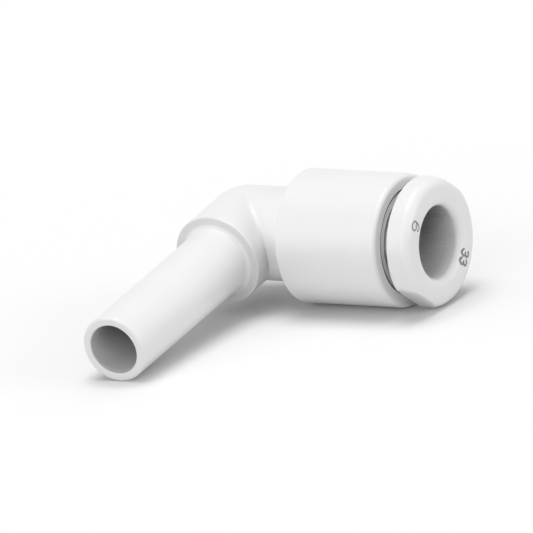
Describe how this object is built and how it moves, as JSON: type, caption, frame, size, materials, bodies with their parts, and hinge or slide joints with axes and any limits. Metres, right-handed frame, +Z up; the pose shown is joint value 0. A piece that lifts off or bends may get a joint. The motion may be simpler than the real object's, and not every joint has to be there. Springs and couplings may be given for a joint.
{
  "type": "push-in elbow",
  "caption": "Right-angle push-in tube fitting: a plain plug stem on one arm, a socket with a release button on the other.",
  "frame": {"origin": "on the surface that the fitting lies on, at the middle of its outline seen from above", "axes": "+X along the tube socket, towards the release button; +Z up; the stem runs along -Y and slopes down to its tip"},
  "size_m": [0.0232, 0.0292, 0.0115],
  "materials": {
    "body_plastic": "moulded, satin white",
    "button_plastic": "moulded, satin white",
    "collet_plastic": "moulded, satin ivory",
    "seal_rubber": "moulded, dull black",
    "spring_steel": "stamped, bright",
    "guide_metal": "drawn, satin"
  },
  "bodies": {
    "elbow": {"elbow_body": "body_plastic", "seal": "seal_rubber", "guide_ring": "guide_metal"},
    "grip": {"collet": "collet_plastic", "chuck": "spring_steel"},
    "button": {"release_button": "button_plastic"}
  },
  "joints": [
    {"name": "grip_swivel", "type": "hinge", "parent": "elbow", "child": "grip", "pos_m": [0, 0.00888, 0.00573], "axis": [1, 0, 0], "continuous": true},
    {"name": "button_press", "type": "slide", "parent": "grip", "child": "button", "axis": [-1, 0, 0], "range_m": [0, 0.0011], "stiffness_N_per_m": 600}
  ]
}
